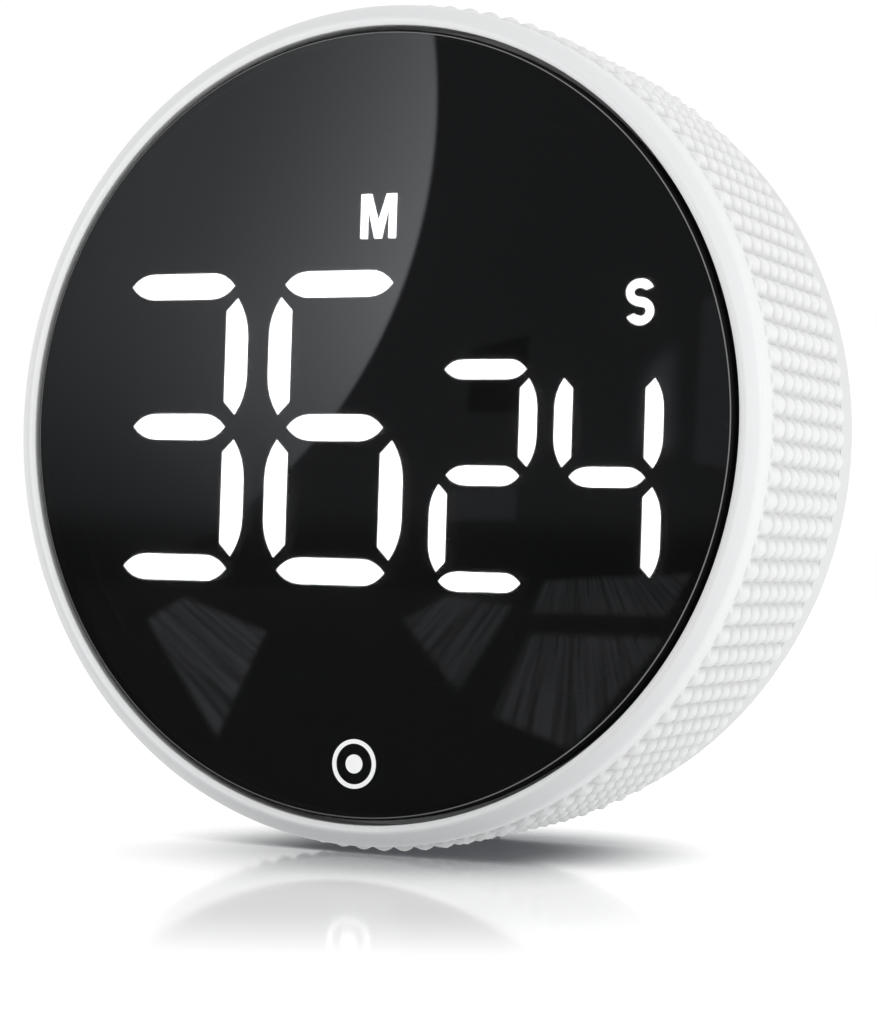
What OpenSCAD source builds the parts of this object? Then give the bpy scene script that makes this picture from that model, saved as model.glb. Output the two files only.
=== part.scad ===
// Round digital kitchen timer with a turning knurled ring, a press-in display panel and a magnetic back.
// Each piece is drawn lying on its back, face up, and stood on its rim by stand().

/* [Body] */
// Diameter of the bezel's opening, round the black panel
opening_d = 72.9; // [71:0.1:76]
// Height of the back pads, which hold the back face off a fridge door
pad_h = 1; // [0.6:0.1:1.5]
// Thickness of the rear housing's floor
floor_t = 2; // [1.8:0.1:2.4]
// Width of the smooth rim that shows behind the grip
rim_h = 3.5; // [3:0.1:4]
// How far the rim lies inside the bezel's edge
rim_set = 1.04; // [0.6:0.02:1.4]
// Chamfer on the rim's back edge
rim_chamfer = 0.7; // [0.3:0.1:1]
// Wall of the rear housing and of the chassis
wall_t = 1.2; // [1:0.1:1.3]

/* [Knob ring] */
// Width of the bezel, opening to outer edge
bezel_w = 2.15; // [1.8:0.05:2.6]
// Radius of the bezel's rounded outer edge
bezel_round = 2.55; // [2.2:0.05:2.8]
// Width of the bevel that falls from the crest to the panel
bezel_bevel = 0.65; // [0.4:0.05:0.9]
// Drop of that bevel
bezel_drop = 0.33; // [0.1:0.01:0.6]
// Depth of the smooth bezel, crest to grip band
bezel_depth = 3.6; // [3.2:0.1:4.2]
// Small chamfer on the bezel's back edge
bezel_lip = 0.25; // [0.1:0.05:0.4]
// Wall of the skirt that carries the grip band
skirt_t = 1.1; // [0.9:0.05:1.1]
// Step from the bezel's opening in to the skirt
shoulder_w = 0.8; // [0.7:0.05:1]

/* [Grip band] */
// How far the front row of bumps stands out past the bezel
grip_proud = 0.4; // [0.2:0.05:0.6]
// How much smaller the last row of bumps is in radius
grip_taper = 0.65; // [0:0.05:0.8]
// Bumps round the ring
bump_rows = 114; // [90:2:130]
// Bumps from front to back
bump_cols = 8; // [6:1:10]
// Height of a bump over the grooves
bump_depth = 0.55; // [0.3:0.05:0.7]
// Length of the long bump next to the bezel
lead_bump = 3.7; // [2.5:0.1:4.5]

/* [Panel] */
// Gap between panel and bezel
panel_gap = 0.45; // [0.35:0.05:0.6]
// Thickness of the smoked panel
panel_t = 1.5; // [1.2:0.1:1.8]
// How far the panel lies below the bezel's crest
panel_sink = 0.1; // [0:0.05:0.2]
// Chamfer on the panel's front edge
panel_chamfer = 0.35; // [0.2:0.05:0.5]
// Thickness of the frame behind the panel
frame_t = 1.4; // [1.2:0.1:1.6]
// Gap between the panel and the display mask
display_gap = 0.9; // [0.8:0.05:1.1]
// Radius of the ring of the press mark
mark_r = 2.25; // [1.5:0.05:3]
// Line width of that ring
mark_line = 0.4; // [0.2:0.05:0.6]
// Radius of the dot in the press mark
mark_dot_r = 0.86; // [0.5:0.02:1.2]
// Distance of the press mark below the middle
mark_y = 30.9; // [28:0.1:32]
// Thickness of the printed mark
mark_t = 0.08; // [0.05:0.01:0.1]
// Angle of the press about the panel's hinge
press_angle = 0.35; // [0.2:0.05:0.4]

/* [Display] */
// Height of a minute digit, between its outer bars' centres
digit_h = 26.56; // [24:0.1:28]
// Width of a minute digit, between its columns' centres
digit_w = 12.2; // [11:0.1:13]
// Width of a minute digit's segments
seg_t = 2.4; // [1.8:0.05:2.6]
// Gap from a column's centre to the tips of the top and bottom bars
tip_gap = 0.41; // [0.3:0.01:0.6]
// Gap from a column's centre to the tips of the middle bar
mid_gap = 1.02; // [0.8:0.01:1.3]
// Gap from a bar's centre to the tip of a column
col_gap = 1.17; // [1:0.01:1.4]
// Distance between the two minute digits
minute_pitch = 16.9; // [16.2:0.1:17.2]
// Centre of the minute digits
minute_at = [-12.7, -0.24];
// Size of the second digits against the minute digits
second_scale = 0.721; // [0.6:0.001:0.74]
// Distance between the two second digits
second_pitch = 12.25; // [11.6:0.05:12.4]
// Centre of the second digits
second_at = [17.28, -4.5];
// Height of the unit letters
letter_h = 4.08; // [3.5:0.02:4.4]
// Width and stroke of the letter over the minutes
letter_m = [3.71, 0.78];
// Width and stroke of the letter over the seconds
letter_s = [2.71, 0.76];
// Place of the letter over the minutes
letter_m_at = [-0.28, 19.2];
// Place of the letter over the seconds
letter_s_at = [26.13, 10.93];
// Depth of the reflector's light wells, which sets how deep the timer is
reflector_h = 6.9; // [6.4:0.1:9]
// Thickness of the display mask
mask_t = 0.4; // [0.3:0.05:0.6]
// Depth of the diffusers in the reflector's wells
diffuser_t = 2.5; // [1.5:0.1:3.5]
// Lower and upper edges of the display block
display_y = [-23, 26.5];
// Side of a light chip
led_w = 1.2; // [0.8:0.1:1.3]
// Height of a light chip
led_h = 0.6; // [0.4:0.05:0.8]

/* [Battery] */
// Diameter of a cell
cell_d = 10.5; // [10.2:0.05:10.6]
// Length of a cell with its nub
cell_len = 44.5; // [43.5:0.1:44.8]
// Height and radius of the nub
cell_nub = [0.8, 1.9];
// Gap between cells
cell_gap = 0.4; // [0.3:0.05:0.5]
// Room round the cells
cell_room = 0.35; // [0.2:0.05:0.45]
// Length of a spring with its cell in place
spring_len = 3.3; // [2.8:0.1:3.6]
// Wire radius of a spring
spring_wire = 0.25; // [0.2:0.05:0.3]
// Turns of a spring
spring_turns = 3; // [2:1:3]
// Coil radius at the plate and at the cell
spring_r = [3.6, 2.2];
// Thickness of the contact plates
contact_t = 0.4; // [0.3:0.05:0.5]
// Side of a contact plate
contact_w = 9; // [8:0.1:9.6]
// Width of a contact's solder tab
tab_w = 2.5; // [1.5:0.1:3]
// Wall of the battery box
box_t = 1; // [0.8:0.1:1.1]
// Thickness of the battery door
door_t = 1.2; // [1:0.05:1.3]
// Width of the ledge under the door
door_ledge = 1.4; // [1.2:0.05:1.6]
// Radius of the door's hinge barrel
barrel_r = 1.1; // [0.9:0.05:1.1]
// Radius of the door's hinge pins
door_pin_r = 0.7; // [0.5:0.05:0.7]
// Length of the door's hinge pins
door_pin_len = 2; // [1.5:0.1:2.4]
// Half width and height of the door's latch lip
latch = [4, 1.2];

/* [Drive] */
// Teeth of the ring gear
ring_teeth = 84; // [72:4:96]
// Teeth of the pinion
pinion_teeth = 18; // [16:1:19]
// Wall of the ring gear outside its teeth
gear_rim = 1.25; // [1:0.05:1.4]
// Width of the ring gear
gear_w = 4; // [3:0.1:4.2]
// Play taken off each tooth
backlash = 0.25; // [0.2:0.01:0.3]
// Radius of the encoder's shaft
shaft_r = 1.5; // [1.2:0.05:2]
// Side of the encoder's body
encoder_w = 8.4; // [7:0.1:8.4]

/* [Electronics] */
// Thickness of the main board
board_t = 1.2; // [1:0.1:1.6]
// Gap between the main board and the wall round it
board_gap = 0.8; // [0.5:0.1:1.2]
// Height of the board over the chassis plate
board_lift = 0.8; // [0.6:0.1:1]
// Side and height of the press switch
tact = [6.2, 3.4];
// Distance of the press switch below the middle
tact_y = 28.6; // [27.5:0.1:28.8]
// Radius and height of the press switch's plunger
plunger = [1.75, 1.4];
// Radius and height of the buzzer
buzzer_size = [4.5, 5.4];
// Wall of the buzzer's seat
buzzer_wall = 0.8; // [0.6:0.1:1]
// Distance of the buzzer's pins from its middle
buzzer_pins = 2.5; // [2:0.1:2.6]
// Radius of the ring of sound holes
sound_spread = 2.4; // [2.2:0.1:2.8]
// Distance of the buzzer below the middle
buzzer_y = 24.6; // [24.5:0.1:25]
// Size of the volume switch
volume_size = [8.6, 3.6, 3.6];
// Gap between the volume switch and the buzzer's seat
volume_gap = 0.4; // [0.3:0.1:0.6]
// Distance of the volume switch below the middle
volume_y = 23; // [22.6:0.1:23.4]
// Travel of the volume slider to each side
volume_travel = 2; // [1:0.1:2.1]
// Width and depth of the volume slider's stem
slider_stem = [2.2, 1.6];
// How far the slider stands out of the back face
slider_proud = 0.55; // [0.3:0.05:0.55]
// Distance of the chip and the capacitor from the press switch
chip_x = 8.6; // [8:0.1:9]
// Radius and height of the capacitor
capacitor_size = [2.5, 5.2];

/* [Fixings] */
// Places of the housing screws, one quarter
screw_at = [19, 23.2];
// Radius of a housing screw's shank
screw_r = 1.1; // [0.9:0.05:1.2]
// Radius and height of its head
screw_head = [2, 1.6];
// Radius of a screw boss
boss_r = 2.7; // [2.4:0.1:2.7]
// Length of the chassis bosses under its plate
boss_drop = 3; // [2:0.1:4]
// Radius of a board screw's shank
board_screw_r = 0.8; // [0.6:0.05:0.9]
// Radius and height of its head
board_head = [1.7, 1.2];
// Places of the board screws
board_screws_at = [[-15.5, -26.5], [15.5, -26.5], [0, 29]];
// Radius and height of a magnet
magnet = [3, 2.2];
// Distance of the magnets from the middle
magnet_at = 33; // [32.6:0.1:33.2]
// Roof and wall round a magnet
magnet_wall = 1; // [0.8:0.1:1.1]
// Radius of a magnet's pad
magnet_pad_r = 3.4; // [3.1:0.1:3.6]
// Radius of the plain pad at the bottom
rest_pad_r = 1.8; // [1.4:0.1:1.8]
// Distance of the plain pad from the middle
rest_pad_y = 34.2; // [34:0.1:34.6]
// Half length of the flat foot under the rim
foot_half = 2.5; // [2:0.5:6]
// How much longer the foot is where it meets the rim, at each end
foot_flare = 0.5; // [0.3:0.1:1.5]

/* [Panel hinge] */
// Distance of the hinge above the middle
hinge_y = 30.5; // [30.3:0.1:30.7]
// Depth of the hinge behind the frame
hinge_drop = 2.5; // [2.2:0.1:2.8]
// Radius of the hinge pin
hinge_pin_r = 1; // [0.8:0.05:1.1]
// Inner and outer sides of a lug
lug_x = [6.2, 10.1];
// Inner and outer sides of an ear
ear_x = [10.4, 12.9];
// Half width of a lug and of an ear
lug_half = 1.6; // [1.5:0.05:1.7]

/* [Clearances] */
// Free gap between pieces that move past each other
free = 0.3; // [0.25:0.05:0.35]
// Radial play of the ring on the chassis
ring_play = 0.1; // [0.05:0.01:0.1]
// Radial play of a pin or shaft that turns
pin_play = 0.05; // [0.03:0.01:0.06]
// Seat of a piece that is pressed or glued in place
seat = 0.05; // [0.03:0.01:0.06]

/* [Hidden] */
$fn = 96;
eps = 0.01;

// Radii, from the bezel's opening outwards and inwards
opening_r = opening_d / 2;
bezel_r = opening_r + bezel_w;
skirt_in = opening_r - shoulder_w;
skirt_out = skirt_in + skirt_t;
band_in = skirt_out + seat;
lead_r = bezel_r + grip_proud;
rim_r = bezel_r - rim_set;
panel_r = opening_r - panel_gap;
frame_r = skirt_in - free - seat;
chassis_land_r = skirt_in - ring_play;
chassis_r = chassis_land_r - free - seat;
chassis_in = chassis_r - wall_t;
rim_wall = 1.46;

// Gear sizes, from the skirt inwards
addendum_k = 0.75;
dedendum_k = 0.9375;
gear_out = skirt_in - seat;
gear_module = 2 * (gear_out - gear_rim) / (ring_teeth + 2 * dedendum_k);
ring_pitch_r = gear_module * ring_teeth / 2;
pinion_pitch_r = gear_module * pinion_teeth / 2;
addendum = addendum_k * gear_module;
dedendum = dedendum_k * gear_module;
tooth_half = PI * gear_module / 4 - backlash / 2;
pressure_angle = 20;
pinion_y = ring_pitch_r - pinion_pitch_r;
wall_out = ring_pitch_r - addendum - free - 2 * seat;
wall_in = wall_out - wall_t;

// Depths, from the back pads up to the bezel's crest
back_z = pad_h;
floor_top = back_z + floor_t;
rim_top = back_z + rim_h;
grip_z0 = rim_top + free;
gear_z0 = grip_z0 + free + 2 * seat;
gear_z1 = gear_z0 + gear_w;
chassis_z0 = gear_z1 + free;
cell_drop = 0.1;
cell_z = floor_top - cell_drop + cell_d / 2;
plate_z0 = cell_z + cell_d / 2 + 2 * free;
plate_t = 1.2;
plate_z1 = plate_z0 + plate_t;
board_z0 = plate_z1 + board_lift;
board_z1 = board_z0 + board_t;
mask_z0 = board_z1 + reflector_h;
mask_z1 = mask_z0 + mask_t;
panel_z0 = mask_z1 + display_gap;
panel_z1 = panel_z0 + panel_t;
body_depth = panel_z1 + panel_sink;
frame_z0 = panel_z0 - frame_t;
chassis_z1 = frame_z0 - 2 * free - 2 * seat;
grip_z1 = body_depth - bezel_depth;
shoulder_z = chassis_z1 + free;
hinge_z = frame_z0 - hinge_drop;
pin_tip_z = board_z0 - 0.02;

// Bezel crest and the centre of its rounded edge
crest_r = opening_r + bezel_bevel;
round_r = bezel_r - bezel_round;
round_z = body_depth - sqrt(pow(bezel_round, 2) - pow(crest_r - round_r, 2));

// Display outline
display_r = wall_out - 0.4;
window_gap = 0.4;
board_r = chassis_in - board_gap;

// Battery box
cell_pitch = cell_d + cell_gap;
box_half = [cell_len / 2 + spring_len / 2 + contact_t, cell_pitch + cell_d / 2 + cell_room];
box_out = [box_half[0] + box_t, box_half[1] + box_t];
door_half = [box_half[0] + door_ledge, box_half[1] + door_ledge];
door_hinge = [door_half[1], back_z + barrel_r];
boss_split = plate_z0 - boss_drop;
head_top = floor_top + 0.6;
volume_at = [-(buzzer_size[0] + free + buzzer_wall + volume_gap + volume_size[0] / 2), -volume_y];
slider_slot = [slider_stem[0] + 2 * volume_travel + 2 * free, slider_stem[1] + 2 * free];

// Points of a round arc
function arc(c, r, a0, a1, n) = [for (i = [0:n]) let (a = a0 + (a1 - a0) * i / n) c + r * [cos(a), sin(a)]];
function flip_y(pts) = [for (i = [len(pts) - 1:-1:0]) [pts[i][0], -pts[i][1]]];

// Centres of a digit's seven segments, bars first: top, middle, bottom, then the columns
function seg_places(k) = let (w = k * digit_w / 2, h = k * digit_h / 2)
  [[0, h], [0, 0], [0, -h], [-w, h / 2], [w, h / 2], [-w, -h / 2], [w, -h / 2]];

function digit_place(i) = i < 2
  ? minute_at + [(i - 0.5) * minute_pitch, 0]
  : second_at + [(i - 2.5) * second_pitch, 0];
function digit_scale(i) = i < 2 ? 1 : second_scale;

// Stands a piece that was drawn lying on its back on its rim, facing the front
module stand() {
  translate([0, body_depth / 2, lead_r]) rotate([90, 0, 0]) children();
}

module at(p, z = 0) {
  translate([p[0], p[1], z]) children();
}

module slab(z0, z1) {
  translate([0, 0, z0]) linear_extrude(z1 - z0) children();
}

module disc(r, z0, z1) {
  translate([0, 0, z0]) cylinder(r = r, h = z1 - z0);
}

module tube(r_out, r_in, z0, z1) {
  slab(z0, z1) difference() {
    circle(r_out);
    circle(r_in);
  }
}

module block(half_x, y0, y1, z0, z1) {
  translate([-half_x, y0, z0]) cube([2 * half_x, y1 - y0, z1 - z0]);
}

module box(size, z0, z1) {
  translate([-size[0] / 2, -size[1] / 2, z0]) cube([size[0], size[1], z1 - z0]);
}

module four_corners(p) {
  for (sx = [-1, 1]) for (sy = [-1, 1]) at([sx * p[0], sy * p[1]]) children();
}

module rod_x(x0, x1, y, z, r) {
  translate([x0, y, z]) rotate([0, 90, 0]) cylinder(r = r, h = x1 - x0);
}

// A bar of a digit: flat sides, and ends that curve in to a point
module bar_segment(half, t) {
  bow = 1.25 * t;
  end = arc([half - t, t / 2 - bow], bow, 90, 90 - asin(t / bow), 4);
  right = concat(end, [for (i = [3:-1:0]) [end[i][0], -end[i][1]]]);
  polygon(concat(right, [for (p = right) -p]));
}

// A column of a digit, along Y: chamfered towards the digit's middle (-X) and bowed outside
module column_segment(half, t) {
  e = 1.5 * t;
  bow = (e * e + t * t / 4) / t;
  top = [for (p = arc([half - e, t / 2 - bow], bow, 90, 90 - asin(e / bow), 4)) [p[1], p[0]]];
  inner = [[-t / 2, half - t / 2], [-t / 2, t / 2 - half]];
  polygon(concat(top, inner, flip_y(top)));
}

// All seven segments of one digit, each grown by g for its well
module digit_shape(k, g = 0) {
  p = seg_places(k);
  t = k * seg_t + 2 * g;
  bar_half = k * (digit_w / 2 - tip_gap) + g;
  mid_half = k * (digit_w / 2 - mid_gap) + g;
  col_half = k * (digit_h / 4 - col_gap) + g;
  for (i = [0:2]) translate(p[i]) bar_segment(i == 1 ? mid_half : bar_half, t);
  for (i = [3:6]) translate(p[i]) mirror([i % 2, 0]) column_segment(col_half, t);
}

module letter_m_shape(g = 0) {
  w = letter_m[0] / 2 + g;
  h = letter_h / 2 + g;
  s = letter_m[1] + 2 * g;
  dip = -h + 0.15 * letter_h;
  polygon([[-w, -h], [-w, h], [-w + 1.35 * s, h], [0, dip + 1.35 * s], [w - 1.35 * s, h], [w, h], [w, -h],
    [w - s, -h], [w - s, h - 1.9 * s], [s / 2, -h], [-s / 2, -h], [-w + s, h - 1.9 * s], [-w + s, -h]]);
}

module letter_s_shape(g = 0) {
  s = letter_s[1] + 2 * g;
  bowl = (letter_h / 2 - letter_s[1] / 2) / 2;
  wide = (letter_s[0] - letter_s[1]) / 2 / bowl;
  from = 25 - g / bowl * 180 / PI;
  a = [for (i = [0:16]) from + (270 - from) * i / 16];
  side = [for (d = [-s / 2, s / 2]) [for (v = a) [(wide * bowl + d) * cos(v), bowl + (bowl + d) * sin(v)]]];
  half_path = [for (i = [0:16]) side[1][i]];
  back_path = [for (i = [16:-1:0]) side[0][i]];
  polygon(concat(half_path, back_path));
  rotate(180) polygon(concat(half_path, back_path));
}

module letter_place(m) {
  at(m ? letter_m_at : letter_s_at) children();
}

module legend_shape(m, g = 0) {
  if (m) letter_m_shape(g);
  if (!m) letter_s_shape(g);
}

// Openings for the segments of all digits, grown by g
module segment_windows(g) {
  for (i = [0:3]) translate(digit_place(i)) digit_shape(digit_scale(i), g);
}

module display_outline(grow = 0) {
  intersection() {
    circle(display_r + grow);
    translate([-board_r, display_y[0] - grow])
      square([2 * board_r, display_y[1] - display_y[0] + 2 * grow]);
  }
}

// Outline of a gear's teeth; side is 1 for teeth that point out, -1 for teeth that point in
function tooth_outline(n, pitch_r, side, phase) = let (rise = tan(pressure_angle))
  [for (k = [0:n - 1]) for (c = [[-1, -1], [1, -1], [1, 1], [-1, 1]])
    let (r = pitch_r + side * (c[0] > 0 ? addendum : -dedendum),
         half = tooth_half + (c[0] > 0 ? -addendum : dedendum) * rise,
         a = 90 + (k + phase) * 360 / n + c[1] * half / r * 180 / PI)
    r * [cos(a), sin(a)]];

// The casing's fixed back: floor with a smooth rim, wall, battery box and seats
module rear_housing() {
  pin_reach = door_half[0] + door_pin_len + free;
  color("whitesmoke") difference() {
    union() {
      rotate_extrude() polygon([[0, back_z], [rim_r - rim_chamfer, back_z], [rim_r, back_z + rim_chamfer],
        [rim_r, rim_top], [rim_r - rim_wall, rim_top], [rim_r - rim_wall, floor_top], [0, floor_top]]);
      tube(wall_out, wall_in, floor_top - eps, plate_z0);
      box([2 * box_out[0], 2 * box_out[1]], floor_top - eps, plate_z0);
      four_corners(screw_at) disc(boss_r, floor_top - eps, boss_split);
      for (a = [0, 90, 180]) rotate(a) at([magnet_at, 0])
        disc(magnet[0] + seat + magnet_wall, floor_top - eps, back_z + magnet[1] + magnet_wall);
      at([0, -buzzer_y]) disc(buzzer_size[0] + free + buzzer_wall, floor_top - eps, floor_top + 2);
      for (s = [-1, 1]) at([s * (pin_reach - door_pin_len / 2), door_hinge[0]])
        box([door_pin_len + 1, 2 * barrel_r + 1.4], floor_top - eps, floor_top + 0.8);
    }
    box([2 * box_half[0], 2 * box_half[1]], back_z - 1, plate_z0 + 1);
    block(door_half[0] + free, -door_half[1] - free, door_half[1], back_z - 1, back_z + door_t + 2 * seat);
    block(door_half[0] + free, door_hinge[0] - barrel_r - free, door_hinge[0] + barrel_r + free, back_z - 1,
      door_hinge[1] + barrel_r + free);
    rod_x(-pin_reach, pin_reach, door_hinge[0], door_hinge[1], door_pin_r + pin_play);
    block(latch[0] + free, -door_half[1] - free, -box_half[1] + free, back_z - 1,
      back_z + door_t + latch[1] + free);
    block(1.5 * latch[0], -door_half[1] - 3, -door_half[1], back_z - 1, back_z + 1);
    four_corners(screw_at) {
      disc(screw_r + seat, back_z - 1, boss_split + 1);
      disc(screw_head[0] + 4 * seat, back_z - 1, head_top);
      disc(boss_r + free, boss_split, plate_z0 + 1);
    }
    for (a = [0, 90, 180]) rotate(a) at([magnet_at, 0])
      disc(magnet[0] + seat, back_z - 1, back_z + magnet[1]);
    at([0, -buzzer_y]) {
      disc(0.7, back_z - 1, floor_top + 1);
      for (a = [0:60:300]) rotate(a) at([sound_spread, 0]) disc(0.7, back_z - 1, floor_top + 1);
    }
    at([0, -buzzer_y]) disc(buzzer_size[0] + free, floor_top, plate_z0);
    at(volume_at) box(slider_slot, back_z - 1, floor_top + 1);
    at(volume_at) box([volume_size[0] + 1, volume_size[1] + 0.6], back_z - 1, back_z + 0.6);
    at([0, pinion_y]) disc(pinion_pitch_r + addendum + free, gear_z0 - free, gear_z1 + 2 * free);
  }
}

// The inner frame that the ring turns on; it closes the battery box and carries the board and the hinge
module chassis() {
  ear_y = [hinge_y - lug_half - seat, hinge_y + lug_half + free];
  color("#1c1d1f") difference() {
    union() {
      rotate_extrude() polygon([[0, plate_z0], [chassis_in, plate_z0], [chassis_in, chassis_z0],
        [chassis_r, chassis_z0], [chassis_r, board_z1], [chassis_land_r, board_z1 + 0.4],
        [chassis_land_r, board_z1 + 3], [chassis_r, board_z1 + 3.4], [chassis_r, chassis_z1],
        [chassis_in, chassis_z1], [chassis_in, plate_z1], [0, plate_z1]]);
      four_corners(screw_at) disc(boss_r, boss_split, plate_z0 + eps);
      for (p = board_screws_at) at(p) disc(2.2, plate_z1 - eps, board_z0);
      for (s = [-1, 1]) translate([s * (ear_x[0] + ear_x[1]) / 2, 0, 0])
        block((ear_x[1] - ear_x[0]) / 2, ear_y[0], ear_y[1], plate_z1 - eps, hinge_z + hinge_pin_r + 0.8);
    }
    four_corners(screw_at) disc(screw_r + seat, boss_split - 1, plate_z1 - free);
    for (p = board_screws_at) at(p) disc(board_screw_r + seat, plate_z0 + free, board_z0 + 1);
    rod_x(-chassis_in, chassis_in, hinge_y, hinge_z, hinge_pin_r + seat);
    for (s = [-1, 1]) for (i = [-1:1]) at([s * (box_half[0] - contact_t / 2), i * cell_pitch])
      box([contact_t + 2 * free, tab_w + 2 * free], plate_z0 - 1, plate_z1 + 1);
    for (i = [-1:1]) at([i * 2.5, pinion_y - 2]) disc(0.6, plate_z0 - 1, plate_z1 + 1);
    for (s = [-1, 1]) at([s * buzzer_pins, -buzzer_y]) disc(0.6, plate_z0 - 1, plate_z1 + 1);
    for (i = [-1:1]) at(volume_at + [2.5 * i, 0]) disc(0.6, plate_z0 - 1, plate_z1 + 1);
  }
}

// The knob's body: rounded bezel in front and a skirt behind it that carries grip and gear
module bezel_ring() {
  color("white") rotate_extrude() difference() {
    polygon([[opening_r, shoulder_z], [opening_r, body_depth - bezel_drop], [crest_r, body_depth],
      [crest_r, body_depth + 1], [bezel_r, body_depth + 1], [bezel_r, grip_z1 + bezel_lip],
      [bezel_r - bezel_lip, grip_z1], [skirt_out, grip_z1], [skirt_out, grip_z0], [skirt_in, grip_z0],
      [skirt_in, shoulder_z]]);
    difference() {
      translate([crest_r - 0.2, round_z]) square([bezel_r - crest_r + 1, body_depth - round_z + 2]);
      translate([round_r, round_z]) circle(bezel_round);
    }
  }
}

// Knurled band: rows of pointed bumps, the row at the bezel longer, on a tube that tapers to the back
module grip_band() {
  top = grip_z1 - seat;
  first = min(lead_bump, (top - grip_z0) / 2);
  step = (top - grip_z0 - first) / (bump_cols - 1);
  groove_z = concat([top], [for (j = [0:bump_cols - 1]) top - first - j * step]);
  crest_z = [for (j = [0:bump_cols - 1]) (groove_z[j] + groove_z[j + 1]) / 2];
  slope = grip_taper / (crest_z[0] - crest_z[bump_cols - 1]);
  turn = 360 / bump_rows;
  groove = [for (z = groove_z) for (i = [0:bump_rows - 1])
    let (r = lead_r - bump_depth - (crest_z[0] - z) * slope, a = -90 + i * turn)
    [r * cos(a), r * sin(a), z]];
  crest = [for (z = crest_z) for (i = [0:bump_rows - 1])
    let (r = lead_r - (crest_z[0] - z) * slope, a = -90 + (i + 0.5) * turn) [r * cos(a), r * sin(a), z]];
  bore = [for (z = [top, grip_z0]) for (i = [0:bump_rows - 1])
    let (a = -90 + i * turn, r = band_in / cos(turn / 2)) [r * cos(a), r * sin(a), z]];
  c0 = len(groove);
  b0 = c0 + len(crest);
  last = bump_cols * bump_rows;
  bump_faces = [for (j = [0:bump_cols - 1]) for (i = [0:bump_rows - 1])
    let (n = (i + 1) % bump_rows, p = j * bump_rows, q = p + bump_rows, c = c0 + p + i)
    each [[p + i, p + n, c], [p + n, q + n, c], [q + n, q + i, c], [q + i, p + i, c]]];
  bore_faces = [for (i = [0:bump_rows - 1])
    let (n = (i + 1) % bump_rows, u = b0, d = b0 + bump_rows)
    each [[u + i, d + n, u + n], [u + i, d + i, d + n], [i, u + n, n], [i, u + i, u + n],
      [last + i, last + n, d + n], [last + i, d + n, d + i]]];
  color("white") polyhedron(concat(groove, crest, bore), concat(bump_faces, bore_faces));
}

// Inner gear of the knob, which turns the encoder
module ring_gear() {
  color("gainsboro") slab(gear_z0, gear_z1) difference() {
    circle(gear_out);
    polygon(tooth_outline(ring_teeth, ring_pitch_r, -1, 0.5));
  }
}

// Smoked panel over the display
module front_panel() {
  color("#101114", 0.7) rotate_extrude() polygon([[0, panel_z0], [panel_r, panel_z0],
    [panel_r, panel_z1 - panel_chamfer], [panel_r - panel_chamfer, panel_z1], [0, panel_z1]]);
}

// Frame glued behind the panel, with the hinge's lugs and the boss that works the press switch
module panel_frame() {
  color("#141416") difference() {
    union() {
      slab(frame_z0, panel_z0) difference() {
        circle(frame_r);
        display_outline(window_gap);
      }
      for (s = [-1, 1]) translate([s * (lug_x[0] + lug_x[1]) / 2, 0, 0])
        block((lug_x[1] - lug_x[0]) / 2, hinge_y - lug_half, hinge_y + lug_half, hinge_z - lug_half,
          frame_z0 + eps);
      at([0, -tact_y]) disc(2, board_z1 + tact[1] + plunger[1] + seat, frame_z0 + eps);
    }
    rod_x(-chassis_in, chassis_in, hinge_y, hinge_z, hinge_pin_r + pin_play);
  }
}

// Ring and dot printed where the panel is pressed
module press_mark() {
  color("white") at([0, -mark_y]) {
    tube(mark_r, mark_r - mark_line, panel_z1, panel_z1 + mark_t);
    disc(mark_dot_r, panel_z1, panel_z1 + mark_t);
  }
}

module hinge_pin() {
  color("silver") rod_x(-ear_x[1], ear_x[1], hinge_y, hinge_z, hinge_pin_r);
}

module display_mask() {
  color("black") slab(mask_z0, mask_z1) difference() {
    display_outline();
    segment_windows(seat);
    for (m = [true, false]) letter_place(m) legend_shape(m, seat);
  }
}

// White block with a light well under each segment
module display_reflector() {
  color("ivory") slab(board_z1, mask_z0) difference() {
    display_outline();
    segment_windows(seat);
    for (m = [true, false]) letter_place(m)
      square([(m ? letter_m[0] : letter_s[0]) + 2 * seat, letter_h + 2 * seat], center = true);
  }
}

// Diffusers of one digit: 0 and 1 are the minutes, 2 and 3 the seconds
module digit(i) {
  color("white") slab(mask_z1 - diffuser_t, mask_z1) translate(digit_place(i)) digit_shape(digit_scale(i));
}

module unit_letter(m) {
  color("white") slab(mask_z1 - diffuser_t, mask_z1) letter_place(m) legend_shape(m);
}

module led_chips() {
  color("lightyellow") {
    for (i = [0:3]) for (p = seg_places(digit_scale(i)))
      at(digit_place(i) + p) box([led_w, led_w], board_z1, board_z1 + led_h);
    for (p = [letter_m_at, letter_s_at]) at(p) box([led_w, led_w], board_z1, board_z1 + led_h);
  }
}

module main_board() {
  tongue = lug_x[0] - 1;
  color("darkgreen") slab(board_z0, board_z1) difference() {
    union() {
      intersection() {
        circle(board_r);
        translate([-board_r, -board_r]) square([2 * board_r, board_r + display_y[1] + free]);
      }
      translate([-tongue, 0]) square([2 * tongue, board_screws_at[2][1] + 2.5]);
    }
    for (p = board_screws_at) translate(p) circle(board_screw_r + 2 * seat);
  }
}

module controller_chip() {
  color("#222222") at([-chip_x, -tact_y + 2.1]) box([5, 5], board_z1, board_z1 + 1.2);
}

module capacitor() {
  color("silver") at([chip_x, -tact_y + 2.1]) {
    box([2 * capacitor_size[0] + 0.2, 2 * capacitor_size[0] + 0.2], board_z1, board_z1 + 0.6);
    disc(capacitor_size[0], board_z1 + 0.6 - eps, board_z1 + capacitor_size[1]);
  }
}

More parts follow.
